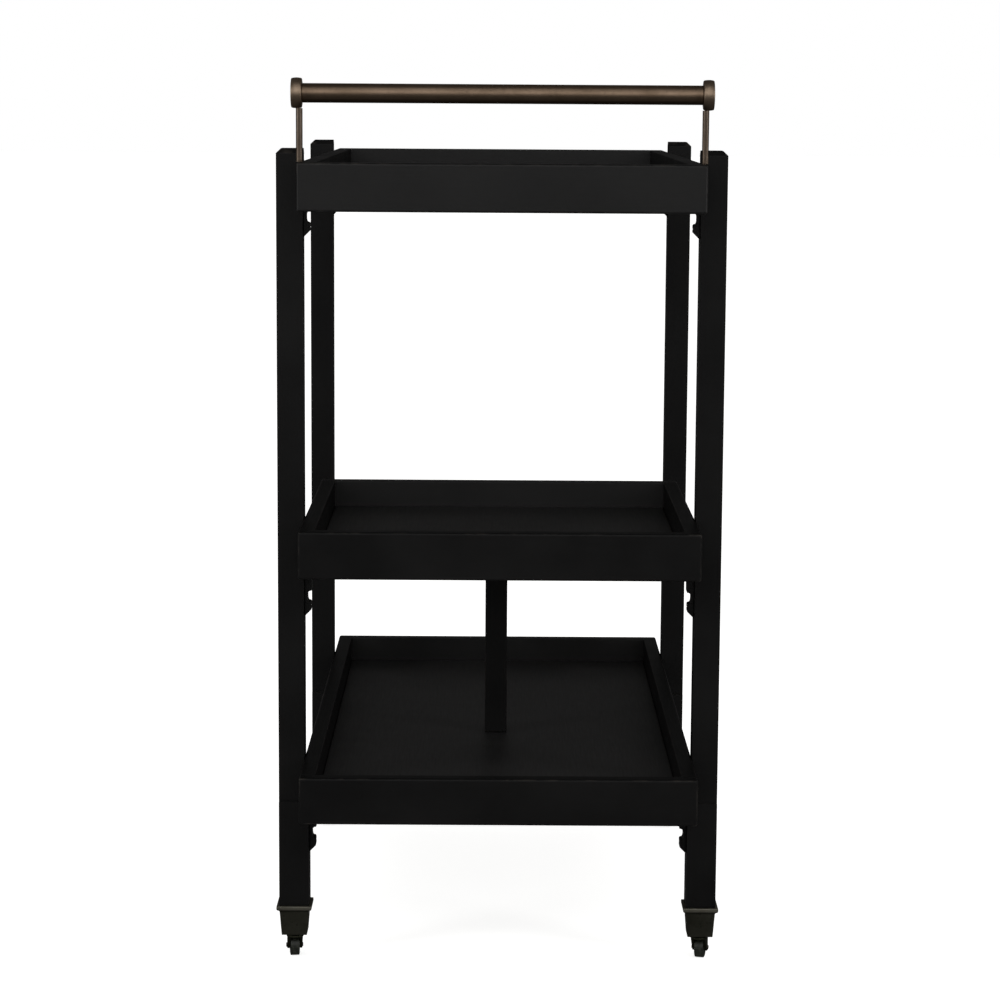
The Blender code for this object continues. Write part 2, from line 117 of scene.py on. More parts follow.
def finish_piece(thing, material, nodes, body=BODY):
    """Gives the piece its material and its body, and lets it stand for its CAD nodes."""
    bpy.context.view_layer.update()
    thing.data.transform(thing.rotation_euler.to_matrix().to_4x4())
    thing.rotation_euler = (0, 0, 0)
    thing.data.materials.clear()
    thing.data.materials.append(material)
    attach(thing, body)
    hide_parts(*nodes)


def box_bmesh(low, high, center):
    low, high, center = Vector(low), Vector(high), Vector(center)
    bm = bmesh.new()
    bmesh.ops.create_cube(bm, size=1.0)
    bmesh.ops.scale(bm, vec=high - low, verts=bm.verts)
    bmesh.ops.translate(bm, vec=(low + high) / 2 - center, verts=bm.verts)
    return bm


def box_object(name, low, high):
    center = (Vector(low) + Vector(high)) / 2
    return add_object(name, mesh_from(box_bmesh(low, high, center), name), center)


def combine(thing, other, operation):
    """A Boolean with a helper object, which is then removed."""
    modifier = thing.modifiers.new(operation.lower(), "BOOLEAN")
    modifier.operation = operation
    modifier.solver = "EXACT"
    modifier.object = other
    apply_modifiers(thing)
    bpy.data.objects.remove(other, do_unlink=True)


def turned(name, profile, location, rotation=None, steps=96):
    """A profile of (radius, height) points, from top to bottom down its outer side, turned about Z."""
    bm = bmesh.new()
    verts = [bm.verts.new((radius, 0.0, height)) for radius, height in profile]
    for above, below in zip(verts, verts[1:]):
        bm.edges.new((above, below))
    if profile[0][0] > 0:
        bm.edges.new((verts[-1], verts[0]))
    thing = add_object(name, mesh_from(bm, name), location, rotation)
    screw = thing.modifiers.new("turn", "SCREW")
    screw.steps = steps
    screw.render_steps = steps
    screw.use_merge_vertices = True
    screw.merge_threshold = MERGE_DISTANCE
    return apply_modifiers(thing)


def cylinder(radius, top, bottom):
    """The profile of a plain cylinder, to be turned."""
    return [(0.0, top), (radius, top), (radius, bottom), (0.0, bottom)]


def outline_object(name, points, thickness):
    """A flat closed outline in X and Z, as thick as given along Y and centred on it."""
    bm = bmesh.new()
    verts = [bm.verts.new((x, -thickness / 2, z)) for x, z in points]
    face = bm.faces.new(verts)
    made = bmesh.ops.extrude_face_region(bm, geom=[face])
    moved = [item for item in made["geom"] if isinstance(item, bmesh.types.BMVert)]
    bmesh.ops.translate(bm, vec=(0, thickness, 0), verts=moved)
    bmesh.ops.recalc_face_normals(bm, faces=bm.faces)
    return add_object(name, mesh_from(bm, name))


def arc(center, radius, start, end, count):
    """Points on an arc about (x, z), from one angle to the other in degrees."""
    return ellipse(center, (radius, radius), start, end, count)


def ellipse(center, radii, start, end, count):
    """Points on an ellipse about (x, z), from one angle to the other in degrees."""
    points = []
    for step in range(count + 1):
        angle = math.radians(start + (end - start) * step / count)
        points.append((center[0] + radii[0] * math.cos(angle), center[1] + radii[1] * math.sin(angle)))
    return points


# Node helpers


class Nodes:
    """Short calls for building a material's node tree."""

    def __init__(self, name):
        self.material = bpy.data.materials.new(name)
        self.material.use_nodes = True
        self.tree = self.material.node_tree
        self.shader = self.tree.nodes["Principled BSDF"]

    def add(self, kind, **settings):
        node = self.tree.nodes.new(kind)
        for key, value in settings.items():
            setattr(node, key, value)
        return node

    def link(self, source, target):
        self.tree.links.new(source, target)

    def noise(self, vector, scale, detail=4.0, roughness=0.55):
        node = self.add("ShaderNodeTexNoise")
        node.inputs["Scale"].default_value = scale
        node.inputs["Detail"].default_value = detail
        node.inputs["Roughness"].default_value = roughness
        self.link(vector, node.inputs["Vector"])
        return node.outputs["Fac"]

    def remap(self, value, low, high, to_low, to_high):
        node = self.add("ShaderNodeMapRange")
        sockets = ("From Min", "From Max", "To Min", "To Max")
        for socket, number in zip(sockets, (low, high, to_low, to_high)):
            node.inputs[socket].default_value = number
        self.link(value, node.inputs["Value"])
        return node.outputs["Result"]

    def math(self, operation, first, second=None):
        node = self.add("ShaderNodeMath", operation=operation)
        for socket, value in zip(node.inputs, (first, second)):
            if value is None:
                continue
            if isinstance(value, (int, float)):
                socket.default_value = value
            else:
                self.link(value, socket)
        return node.outputs["Value"]

    def mix(self, factor, first, second):
        node = self.add("ShaderNodeMix", data_type="RGBA")
        sockets = {s.identifier: s for s in node.inputs}
        self.link(factor, sockets["Factor_Float"])
        for key, value in (("A_Color", first), ("B_Color", second)):
            if isinstance(value, tuple):
                sockets[key].default_value = (*value, 1.0)
            else:
                self.link(value, sockets[key])
        return next(s for s in node.outputs if s.identifier == "Result_Color")

    def coordinates(self, stretch):
        """Object coordinates moved by the object's own random number and stretched along its axes."""
        texture = self.add("ShaderNodeTexCoord")
        info = self.add("ShaderNodeObjectInfo")
        shift = self.math("MULTIPLY", info.outputs["Random"], RANDOM_SHIFT)
        moved = self.add("ShaderNodeVectorMath", operation="ADD")
        self.link(texture.outputs["Object"], moved.inputs[0])
        self.link(shift, moved.inputs[1])
        scaled = self.add("ShaderNodeVectorMath", operation="MULTIPLY")
        scaled.inputs[1].default_value = stretch
        self.link(moved.outputs["Vector"], scaled.inputs[0])
        return texture, moved.outputs["Vector"], scaled.outputs["Vector"]

    def bump(self, height, distance, strength, normal=None):
        node = self.add("ShaderNodeBump")
        node.inputs["Distance"].default_value = distance
        node.inputs["Strength"].default_value = strength
        self.link(height, node.inputs["Height"])
        if normal is not None:
            self.link(normal, node.inputs["Normal"])
        return node.outputs["Normal"]

    def edge_mask(self, texture):
        """1 on the rounded edges of an upright box and 0 on its flat sides."""
        parts = self.add("ShaderNodeSeparateXYZ")
        self.link(texture.outputs["Normal"], parts.inputs["Vector"])
        sides = [self.math("ABSOLUTE", parts.outputs[axis]) for axis in "XYZ"]
        largest = self.math("MAXIMUM", self.math("MAXIMUM", sides[0], sides[1]), sides[2])
        return self.remap(largest, FLAT_SIDE, ROUNDED_EDGE, 0.0, 1.0)


FLAT_SIDE = 0.985  # the largest part of a flat side's normal
ROUNDED_EDGE = 0.80  # the same, well into a rounded edge
RANDOM_SHIFT = 7.0
GRAIN = {"x": (2.5, 60.0, 60.0), "y": (60.0, 2.5, 60.0), "z": (60.0, 60.0, 2.5)}


def painted_wood(name, axis, painted_light_scale=1.0, gloss=0.32):
    """Satin black paint over wood: faint open grain, brush drag and softly rubbed edges."""
    n = Nodes(name)
    texture, plain, along = n.coordinates(GRAIN[axis])
    clouds = n.noise(plain, 9.0, 3.0)
    grain = n.noise(along, 9.0, 6.0, 0.65)
    fine = n.noise(plain, 900.0, 2.0)
    # The scale brightens or darkens the whole paint, so that copies of the one paint stand in for light
    # and shade on different boards: painted light and painted shade.
    dark = tuple(channel * painted_light_scale for channel in (0.0048, 0.0046, 0.0046))
    light = tuple(channel * painted_light_scale for channel in (0.0072, 0.0069, 0.0068))
    color = n.mix(n.remap(clouds, 0.35, 0.65, 0.0, 1.0), dark, light)
    color = n.mix(n.remap(grain, 0.62, 0.74, 0.0, 0.35), color, (0.003, 0.003, 0.003))
    rub = n.math("MULTIPLY", n.edge_mask(texture), n.remap(n.noise(plain, 55.0, 5.0), 0.5, 0.72, 0.0, 1.0))
    color = n.mix(n.math("MULTIPLY", rub, 0.45), color, (0.045, 0.038, 0.032))
    n.link(color, n.shader.inputs["Base Color"])
    drag = n.remap(grain, 0.3, 0.7, -0.035, 0.035)
    rough = n.remap(clouds, 0.3, 0.7, 0.40, 0.50)
    n.link(n.math("ADD", rough, drag), n.shader.inputs["Roughness"])
    n.shader.inputs["Specular IOR Level"].default_value = gloss
    relief = n.bump(grain, 0.0006, 0.10)
    relief = n.bump(fine, 0.00012, 0.12, relief)
    n.link(relief, n.shader.inputs["Normal"])
    return n.material


def bronze(name, deep, warm, rough, blotch=1.0):
    """Antique metal: a patina between two tones, dark specks and fine turning marks."""
    n = Nodes(name)
    _, plain, along = n.coordinates((300.0, 300.0, 8.0))
    patina = n.noise(plain, 38.0, 6.0, 0.6)
    specks = n.noise(plain, 260.0, 4.0, 0.6)
    marks = n.noise(along, 4.0, 3.0)
    color = n.mix(n.remap(patina, 0.30, 0.66, 0.0, 1.0), deep, warm)
    color = n.mix(n.remap(specks, 0.60, 0.72, 0.0, 0.45 * blotch), color, tuple(c * 0.15 for c in deep))
    n.link(color, n.shader.inputs["Base Color"])
    n.shader.inputs["Metallic"].default_value = 1.0
    rough_noise = n.remap(patina, 0.3, 0.7, rough + 0.03, rough - 0.03)
    n.link(n.math("ADD", rough_noise, n.remap(specks, 0.4, 0.7, 0.0, 0.05)), n.shader.inputs["Roughness"])
    relief = n.bump(specks, 0.0002, 0.08)
    relief = n.bump(marks, 0.00005, 0.10, relief)
    n.link(relief, n.shader.inputs["Normal"])
    return n.material


def dark_steel(name):
    """Blackened steel with a fine grain and lighter scuffs."""
    n = Nodes(name)
    _, plain, _ = n.coordinates((1.0, 1.0, 1.0))
    scuffs = n.noise(plain, 420.0, 5.0, 0.6)
    color = n.mix(n.remap(scuffs, 0.45, 0.70, 0.0, 1.0), (0.06, 0.052, 0.045), (0.22, 0.19, 0.16))
    n.link(color, n.shader.inputs["Base Color"])
    n.shader.inputs["Metallic"].default_value = 1.0
    n.link(n.remap(scuffs, 0.3, 0.7, 0.30, 0.46), n.shader.inputs["Roughness"])
    n.link(n.bump(scuffs, 0.0001, 0.2), n.shader.inputs["Normal"])
    return n.material


def wheel_material(name):
    """A hard olive-black wheel with dusty scuffs."""
    n = Nodes(name)
    _, plain, _ = n.coordinates((1.0, 1.0, 1.0))
    dust = n.noise(plain, 350.0, 6.0, 0.65)
    color = n.mix(n.remap(dust, 0.42, 0.68, 0.0, 1.0), (0.005, 0.006, 0.0035), (0.018, 0.021, 0.012))
    n.link(color, n.shader.inputs["Base Color"])
    n.link(n.remap(dust, 0.3, 0.7, 0.36, 0.58), n.shader.inputs["Roughness"])
    n.link(n.bump(dust, 0.0002, 0.2), n.shader.inputs["Normal"])
    return n.material


# Copies of the one black paint. The back boards' copy is about twice as light and the floor panels' about
# four times as light: painted light on the inner walls and tray floors. The top front board's copy keeps
# more gloss than the rest, standing in for the light falling off lower down.
FACE_WOOD = painted_wood("black_paint_face", "x", 0.62)
WOOD = {axis: painted_wood(f"black_paint_{axis}", axis, 0.62, 0.15) for axis in "xyz"}
LIT_INNER_WOOD = painted_wood("black_paint_inner_painted_light", "x", 1.2)
LIT_PANEL_WOOD = painted_wood("black_paint_panel_painted_light", "y", 2.4)
MOULDING = painted_wood("black_paint_moulding", "y", 0.62, 0.20)
HANDLE_BRONZE = bronze("antique_bronze_handle", (0.20, 0.140, 0.094), (0.28, 0.200, 0.140), 0.40, 0.5)
# The caps' bronze is a lighter copy of the handle's, painted light. The rods' bronze below it is a darker
# copy, painted shade.
LIT_CAP_BRONZE = bronze("antique_bronze_cap_painted_light", (0.27, 0.200, 0.142), (0.38, 0.285, 0.205), 0.42, 0.5)
SHADED_ROD_BRONZE = bronze("antique_bronze_rod_painted_shade", (0.12, 0.092, 0.070), (0.17, 0.132, 0.102), 0.42, 0.5)
FERRULE_BRONZE = bronze("antique_bronze_ferrule", (0.058, 0.057, 0.043), (0.115, 0.113, 0.088), 0.50)
# The lip's bronze is a lighter copy of the ferrule's: a painted highlight where the rounded lip catches
# light from above.
LIT_LIP_BRONZE = bronze("antique_bronze_lip_painted_highlight", (0.21, 0.200, 0.160), (0.34, 0.325, 0.265), 0.48, 0.5)
FORK_BRONZE = bronze("antique_bronze_fork", (0.036, 0.038, 0.024), (0.080, 0.082, 0.056), 0.52)
STEEL = dark_steel("dark_steel")
WHEEL = wheel_material("caster_wheel")


# Trays

OUTER_ROUNDING = 0.0024
INNER_WEIGHT = 0.45
END_WEIGHT = 0.16
FLOOR_RAISE = 0.004
FLOOR_ROUNDING = 0.0013


def weigh_edges(mesh, weight_of):
    """Sets each edge's bevel weight from the signs of its middle in the board's own frame."""
    layer = mesh.attributes.new("bevel_weight_edge", "FLOAT", "EDGE")
    half = Vector([max(v.co[k] for v in mesh.vertices) for k in range(3)])
    for edge in mesh.edges:
        first, second = (mesh.vertices[index].co for index in edge.vertices)
        middle = (first + second) / 2
        signs = tuple(round(middle[k] / half[k]) for k in range(3))
        layer.data[edge.index].value = weight_of(signs)


def make_board(tier, side):
    """A rim board, rounded most on its outer edges, with the groove that holds the floor panel."""
    node = f"{tier}_tray_{side}"
    low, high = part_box(node)
    across = side in ("front", "back")
    # The side boards reach across the joint, so that no light shows through it
    joint = Vector((0, 0 if across else GAP, 0))
    board = box_object(f"{node}_board", low - joint, high + joint)
    outward = -1 if side in ("front", "left") else 1
    face_axis = 1 if across else 0
    long_axis = 1 - face_axis

    def weight_of(signs):
        if signs[face_axis] == outward:
            return 1.0 if (across or signs[long_axis] == 0) else END_WEIGHT
        if signs[long_axis] == 0 or signs[face_axis] == 0:
            on_end = signs[long_axis] != 0
            if on_end:
                return 1.0 if across else END_WEIGHT
            return INNER_WEIGHT
        return END_WEIGHT

    weigh_edges(board.data, weight_of)
    bevel = board.modifiers.new("rounded", "BEVEL")
    bevel.limit_method = "WEIGHT"
    bevel.width = OUTER_ROUNDING
    bevel.segments = 4
    apply_modifiers(board)
    floor_low, floor_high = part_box(f"{tier}_tray_floor")
    clearance = Vector((GAP, GAP, GAP))
    tongue_top = Vector((floor_high.x, floor_high.y, floor_high.z - FLOOR_RAISE))
    combine(board, box_object("groove", floor_low - clearance, tongue_top + clearance), "DIFFERENCE")
    smooth(board)
    material = WOOD["x"] if across else WOOD["y"]
    # The back boards take the lighter copy of the paint: painted light on their inside faces.
    if side == "back":
        material = LIT_INNER_WOOD
    # The top front board takes the glossier copy, standing in for the light being stronger at the top.
    if node == "top_tray_front":
        material = FACE_WOOD
    finish_piece(board, material, [node])


def make_panel(tier):
    """The floor panel: a tongue all round, below a raised top whose edge is softly rounded."""
    node = f"{tier}_tray_floor"
    low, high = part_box(node)
    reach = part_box(f"{tier}_tray_left")[1].x - low.x + GAP
    center = (low + high) / 2
    bm = box_bmesh(low, (high.x, high.y, high.z - FLOOR_RAISE), center)
    top = max(bm.faces, key=lambda face: face.calc_center_median().z)
    bmesh.ops.inset_region(bm, faces=[top], thickness=reach, use_even_offset=True)
    raised = bmesh.ops.extrude_face_region(bm, geom=[top])
    lifted = [item for item in raised["geom"] if isinstance(item, bmesh.types.BMVert)]
    bmesh.ops.delete(bm, geom=[top], context="FACES_ONLY")
    bmesh.ops.translate(bm, vec=(0, 0, FLOOR_RAISE), verts=lifted)
    top_edges = [e for e in bm.edges if all(v in lifted for v in e.verts)]
    bmesh.ops.bevel(bm, geom=top_edges, offset=FLOOR_ROUNDING, segments=4, profile=0.5, affect="EDGES")
    panel = add_object(f"{node}_panel", mesh_from(bm, node), center)
    smooth(panel)
    # The floor panel takes the lightest copy of the paint: painted light on the tray floor.
    finish_piece(panel, LIT_PANEL_WOOD, [node])


# Legs, post and brackets

LEG_SIDE = 0.027
LEG_TOP_CHAMFER = 0.005
TENON_SIDE = 0.024
TENON_ROOT = 0.002
TOP_MARGIN = 0.001
EDGE_ROUNDING = 0.0013


def make_leg(corner, side):
    """A square post whose top slopes on three sides, a thicker foot and a tenon under it."""
    node = f"leg_{corner}"
    low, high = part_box(node)
    foot_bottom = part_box(f"caster_ferrule_{corner}")[1].z + GAP
    tray_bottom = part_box("bottom_tray_left")[0].z
    middle_y = (low.y + high.y) / 2
    outer_x = high.x if side > 0 else low.x
    post_x = sorted((outer_x, outer_x - side * LEG_SIDE))
    center = Vector(((low.x + high.x) / 2, middle_y, (low.z + high.z) / 2))
    post_low = (post_x[0], middle_y - LEG_SIDE / 2, foot_bottom)
    post_high = (post_x[1], middle_y + LEG_SIDE / 2, high.z)
    bm = box_bmesh(post_low, post_high, center)
    top_z = max(v.co.z for v in bm.verts)
    post_middle = (post_x[0] + post_x[1]) / 2 - center.x
    top_edges = [e for e in bm.edges if all(v.co.z > top_z - TOP_MARGIN for v in e.verts)]
    sloped = []
    for edge in top_edges:
        reach = sum(v.co.x - post_middle for v in edge.verts) * side
        if reach > -LEG_SIDE / 2:
            sloped.append(edge)
    bmesh.ops.bevel(bm, geom=sloped, offset=LEG_TOP_CHAMFER, segments=1, affect="EDGES")
    leg = add_object(f"{node}_post", mesh_from(bm, node), center)
    foot_low = Vector((low.x, low.y, foot_bottom))
    foot = box_object("foot", foot_low, (high.x, high.y, tray_bottom - GAP))
    combine(leg, foot, "UNION")
    half = Vector((TENON_SIDE / 2, TENON_SIDE / 2, 0))
    tenon_center = Vector((center.x, center.y, 0))
    tenon_low = tenon_center - half + Vector((0, 0, low.z))
    tenon_high = tenon_center + half + Vector((0, 0, foot_bottom + TENON_ROOT))
    combine(leg, box_object("tenon", tenon_low, tenon_high), "UNION")
    add_bevel(leg, EDGE_ROUNDING, 4)
    apply_modifiers(leg)
    smooth(leg)
    finish_piece(leg, WOOD["z"], [node])


def make_post():
    low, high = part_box("centre_post")
    post = box_object("centre_post_turned_square", low, high)
    add_bevel(post, EDGE_ROUNDING, 4)
    apply_modifiers(post)
    smooth(post)
    finish_piece(post, WOOD["z"], ["centre_post"])


FLANGE = 0.0075
FLANGE_NOSE = 0.0012
COVE = 0.003
COVE_CURVE = 0.0042
BEAD = 0.0067
BEAD_NOSE = 0.0020
BEAD_GROOVE = 0.0007
COVE_HEIGHT = 0.0115
BEAD_HEIGHT = 0.0085
BRACKET_ROUNDING = 0.0005


def bracket_points(flange_height):
    """Flange, cove, bead and sloping foot, in reach from the leg and height below the tray."""
    cove_top = -flange_height
    cove_bottom = cove_top - COVE_HEIGHT
    bead_bottom = cove_bottom - BEAD_HEIGHT
    nose_x = FLANGE - FLANGE_NOSE
    bead_x = BEAD - BEAD_NOSE
    points = [(0.0, 0.0), (FLANGE, 0.0)]
    points += arc((nose_x, cove_top + FLANGE_NOSE), FLANGE_NOSE, 0, -90, 6)
    points += ellipse((nose_x, cove_top - COVE_CURVE), (nose_x - COVE, COVE_CURVE), 90, 180, 8)[1:]
    points += ellipse((bead_x, cove_bottom + COVE_CURVE), (bead_x - COVE, COVE_CURVE), 180, 270, 8)
    points += arc((bead_x, cove_bottom - BEAD_NOSE), BEAD_NOSE, 90, 0, 6)[1:]
    groove = (cove_bottom - BEAD_NOSE + bead_bottom) / 2
    points += [(BEAD, groove + BEAD_GROOVE), (BEAD - BEAD_GROOVE, groove), (BEAD, groove - BEAD_GROOVE)]
    points += [(BEAD, bead_bottom), (0.0, bead_bottom - BEAD)]
    return points


def make_bracket(tier, corner, side):
    node = f"{tier}_bracket_{corner}"
    low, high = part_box(node)
    total = high.z - low.z
    flange_height = total - COVE_HEIGHT - BEAD_HEIGHT - BEAD
    wall_x = high.x if side > 0 else low.x
    outline = [(-side * reach, z) for reach, z in bracket_points(flange_height)]
    bracket = outline_object(f"{node}_moulding", outline, high.y - low.y)
    bracket.location = (wall_x, (low.y + high.y) / 2, high.z)
    add_bevel(bracket, BRACKET_ROUNDING, 3, 50)
    apply_modifiers(bracket)
    smooth(bracket, 35)
    finish_piece(bracket, MOULDING, [node])


# Push handle

TUBE_BORE = 0.0080
TUBE_EDGE = 0.0005
PLUG_RADIUS = 0.0077
STUD_RADIUS = 0.0012
STUD_HOLE_RADIUS = 0.0016
STUD_REACH = 0.008
ROD_RADIUS = 0.0033
CAP_EDGE = 0.0010
CAP_CROWN = 0.0005
CAP_DISH = 0.0006
CAP_DISH_FLOOR = 0.72  # of the rim's radius
CAP_DISH_RIM = 0.80  # of the rim's radius
CAP_RECESS_FLOOR = 0.0023
CAP_RECESS_RIM = 0.0028
CROWN_STEPS = 8
CUT_OVERSHOOT = 0.004
ROD_FLARE = 0.0003
ROD_FLARE_START = 0.0012
ROD_FLARE_TOP = 0.0008
ROD_SOFT = 0.0002
STUD_ROOT = 0.004
SADDLE_GAP = 0.00005
SADDLE_REACH = 0.0009
SADDLE_HALF = 0.02


def make_tube():
    low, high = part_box("handle_tube")
    center = (low + high) / 2
    half = (high.x - low.x) / 2
    radius = (high.z - low.z) / 2
    profile = [(TUBE_BORE, half), (radius - TUBE_EDGE, half), (radius, half - TUBE_EDGE)]
    profile += [(radius, -half + TUBE_EDGE), (radius - TUBE_EDGE, -half), (TUBE_BORE, -half)]
    tube = turned("handle_tube_turned", profile, center, (0, math.pi / 2, 0))
    smooth(tube)
    finish_piece(tube, HANDLE_BRONZE, ["handle_tube"])


def make_cap(corner, side):
    """A thick disc with a softly crowned rim and a shallow dished face, plugged into the tube."""
    node = f"handle_cap_{corner}"
    low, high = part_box(node)
    radius = (high.z - low.z) / 2
    inner_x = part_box("handle_tube")[1].x + GAP
    thickness = max(abs(low.x), abs(high.x)) - inner_x
    plug = inner_x - min(abs(low.x), abs(high.x))
    rim = radius - CAP_CROWN - CAP_EDGE
    dish = thickness - CAP_DISH
    profile = [(0.0, dish), (rim * CAP_DISH_FLOOR, dish), (rim * CAP_DISH_RIM, thickness)]
    profile += arc((rim, thickness - CAP_EDGE), CAP_EDGE, 90, 10, 5)
    half = thickness / 2 - CAP_EDGE
    for step in range(1, CROWN_STEPS):
        across = 1 - 2 * step / CROWN_STEPS
        profile.append((radius - CAP_CROWN * across * across, thickness / 2 + half * across))
    profile += arc((rim, CAP_EDGE), CAP_EDGE, -10, -90, 5)
    profile += [(PLUG_RADIUS + CAP_RECESS_RIM, 0.0), (PLUG_RADIUS + CAP_RECESS_FLOOR, GAP)]
    profile += [(PLUG_RADIUS, GAP)]
    profile += [(PLUG_RADIUS, -plug), (0.0, -plug)]
    place = (side * inner_x, (low.y + high.y) / 2, (low.z + high.z) / 2)
    cap = turned(f"{node}_turned", profile, place, (0, side * math.pi / 2, 0))
    hole = cylinder(STUD_HOLE_RADIUS, STUD_REACH, -CUT_OVERSHOOT)
    rod_low, rod_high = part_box(f"handle_rod_{corner}")
    rod_x = (rod_low.x + rod_high.x) / 2
    combine(cap, turned("hole", hole, (rod_x, place[1], low.z), steps=32), "DIFFERENCE")
    smooth(cap)
    finish_piece(cap, LIT_CAP_BRONZE, [node])


def make_rod(corner):
    """A slender straight rod whose top is hollowed to sit against the round cap."""
    node = f"handle_rod_{corner}"
    low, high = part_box(node)
    cap_low, cap_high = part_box(f"handle_cap_{corner}")
    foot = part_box("top_tray_left")[1].z + GAP
    head = cap_low.z + SADDLE_REACH - foot
    flare = ROD_RADIUS + ROD_FLARE
    profile = [(0.0, head), (ROD_RADIUS, head), (ROD_RADIUS, ROD_FLARE_START)]
    profile += [(flare, ROD_FLARE_TOP), (flare, ROD_SOFT), (flare - ROD_SOFT, 0.0)]
    profile += [(STUD_RADIUS, 0.0), (STUD_RADIUS, low.z - foot), (0.0, low.z - foot)]
    place = ((low.x + high.x) / 2, (low.y + high.y) / 2, foot)
    rod = turned(f"{node}_turned", profile, place, steps=48)
    cap_middle = (place[0], place[1], (cap_low.z + cap_high.z) / 2)
    hollow = (cap_high.z - cap_low.z) / 2 + SADDLE_GAP
    saddle = cylinder(hollow, SADDLE_HALF, -SADDLE_HALF)
    combine(rod, turned("saddle", saddle, cap_middle, (0, math.pi / 2, 0), 128), "DIFFERENCE")
    stud = cylinder(STUD_RADIUS, high.z - foot, head - STUD_ROOT)
    combine(rod, turned("stud", stud, place, steps=32), "UNION")
    smooth(rod, 35)
    finish_piece(rod, SHADED_ROD_BRONZE, [node])


# Casters

POCKET_BOTTOM = 0.0430
LIP_HEIGHT = 0.0046
LIP_EDGE = 0.0010
LIP_COVE_REACH = 0.0010
LIP_FACE_MARGIN = 0.0004
LIP_UNDERCUT = 0.0012
LIP_COVE_TOP = 0.0006
LIP_COVE_BOTTOM = 0.0022
CUP_ROUNDING = 0.0008
STEM_HOLE_RADIUS = 0.0048
STEM_HOLE_TOP = 0.06
STEM_HOLE_BOTTOM = 0.01
POCKET_OVERSHOOT = 0.01
FERRULE_TOP_SIDE = 0.0304
FERRULE_BOTTOM_SIDE = 0.0266
CHEEK_THICKNESS = 0.0026
CROWN_THICKNESS = 0.0022
CROWN_RADIUS = 0.0090
STEM_RADIUS = 0.0025
CHEEK_RADIUS = 0.0038
CHEEK_AHEAD = 0.0060
CHEEK_BEHIND = 0.0105
FORK_EDGE = 0.0008
STEM_EDGE = 0.0004
AXLE_RADIUS = 0.0015
AXLE_CLEARANCE = 0.00006
AXLE_HEAD = 0.0009
AXLE_HEAD_MIDDLE = 0.0016
AXLE_HOLE_HALF = 0.012
WHEEL_HALF = 0.0048
WHEEL_SIDE_GAP = 0.0004
WHEEL_EDGE = 0.0010
HUB_RADIUS = 0.0036
HUB_BASE_RADIUS = 0.0041
RIM_BASE_RADIUS = 0.0076
RIM_INNER_RADIUS = 0.0081
WHEEL_DISH = 0.0010
RIM_STEP = 0.0002


def caster_frame(corner):
    """The caster's stem centre on the floor, its swivel angle, and its axle's centre."""
    joints = {joint["name"]: joint for joint in frame["joints"]}
    stem = Vector(joints[f"caster_swivel_{corner}"]["pos_m"])
    axle = Vector(joints[f"wheel_spin_{corner}"]["pos_m"])
    axis = Vector(joints[f"wheel_spin_{corner}"]["axis"])
    return Vector((stem.x, stem.y, 0)), math.atan2(axis.y, axis.x), axle


def make_ferrule(corner):
    """A square cast cup: a proud rounded lip, a cove under it, and a body that tapers to its base."""
    node = f"caster_ferrule_{corner}"
    low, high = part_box(node)
    center = Vector(((low.x + high.x) / 2, (low.y + high.y) / 2, 0))
    corner_reach = (high.x - low.x) / 2 * math.sqrt(2)
    body_top = FERRULE_TOP_SIDE / math.sqrt(2)
    body_bottom = FERRULE_BOTTOM_SIDE / math.sqrt(2)
    lip_bottom = high.z - LIP_HEIGHT
    profile = [(0.0, high.z), (corner_reach, high.z), (corner_reach, lip_bottom + LIP_EDGE)]
    profile += [(corner_reach - LIP_UNDERCUT, lip_bottom)]
    profile += [(body_top + LIP_COVE_REACH, lip_bottom - LIP_COVE_TOP)]
    profile += [(body_top, lip_bottom - LIP_COVE_BOTTOM), (body_bottom, low.z), (0.0, low.z)]
    cup = turned(f"{node}_cast", profile, center, (0, 0, math.pi / 4), 4)
    bpy.context.view_layer.update()
    add_bevel(cup, CUP_ROUNDING, 3, 25)
    apply_modifiers(cup)
    half = TENON_SIDE / 2 + GAP
    pocket_low = center + Vector((-half, -half, POCKET_BOTTOM))
    pocket_high = center + Vector((half, half, high.z + POCKET_OVERSHOOT))
    combine(cup, box_object("pocket", pocket_low, pocket_high), "DIFFERENCE")
    hole = cylinder(STEM_HOLE_RADIUS, STEM_HOLE_TOP, STEM_HOLE_BOTTOM)
    combine(cup, turned("hole", hole, center, steps=48), "DIFFERENCE")
    smooth(cup, 35)
    finish_piece(cup, FERRULE_BRONZE, [node])
    # The lip's faces take the lighter bronze: a painted highlight.
    cup.data.materials.append(LIT_LIP_BRONZE)
    for face in cup.data.polygons:
        if face.center.z > lip_bottom - LIP_FACE_MARGIN:
            face.material_index = 1


def cheek_points(top, trail, wheel_radius):
    points = [(-CHEEK_AHEAD, top - FORK_EDGE), (-CHEEK_AHEAD, top - CROWN_THICKNESS)]
    points += arc((trail, wheel_radius), CHEEK_RADIUS, 200, 350, 18)
    points += [(CHEEK_BEHIND, top - CROWN_THICKNESS), (CHEEK_BEHIND, top - FORK_EDGE)]
    return points


